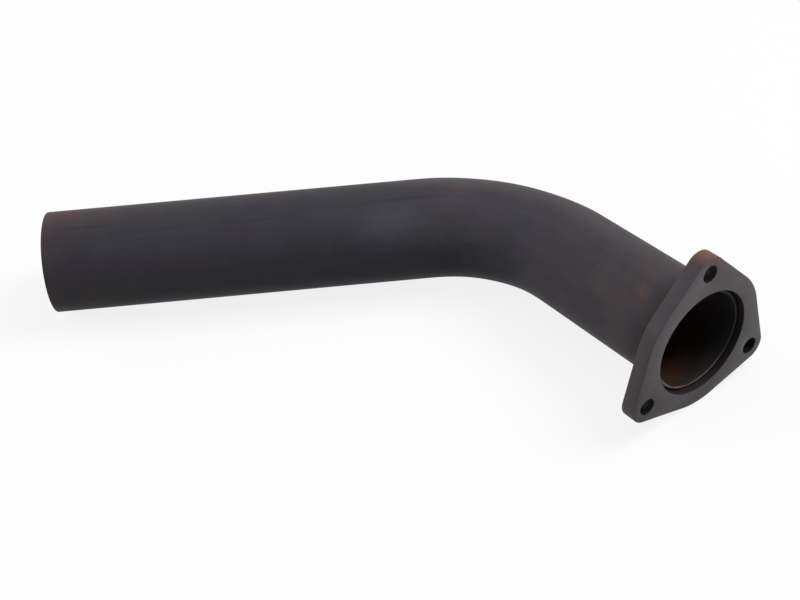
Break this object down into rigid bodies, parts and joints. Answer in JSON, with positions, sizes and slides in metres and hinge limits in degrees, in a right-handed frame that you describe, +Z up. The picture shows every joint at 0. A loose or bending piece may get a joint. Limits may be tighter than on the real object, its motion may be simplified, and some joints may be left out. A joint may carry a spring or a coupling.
{
  "type": "exhaust pipe",
  "caption": "Bent round exhaust tube with a flange of three bolt ears welded to one end and a plain open slip end.",
  "frame": {"origin": "on the floor under the centre of the lying pipe's bounding box", "axes": "+X from the open end to the flange end along the long straight, +Z up, the flange leg turned towards -Y"},
  "size_m": [0.4225, 0.1982, 0.1022],
  "materials": {
    "tube_steel": "blackened by heat, satin, with faint brown and purple tints",
    "flange_steel": "dark mill scale, matte, with small rust marks",
    "weld_metal": "dark rippled bead"
  },
  "bodies": {
    "root": {"bent_tube": "tube_steel", "flange": "flange_steel", "outer_weld": "weld_metal"}
  },
  "joints": []
}
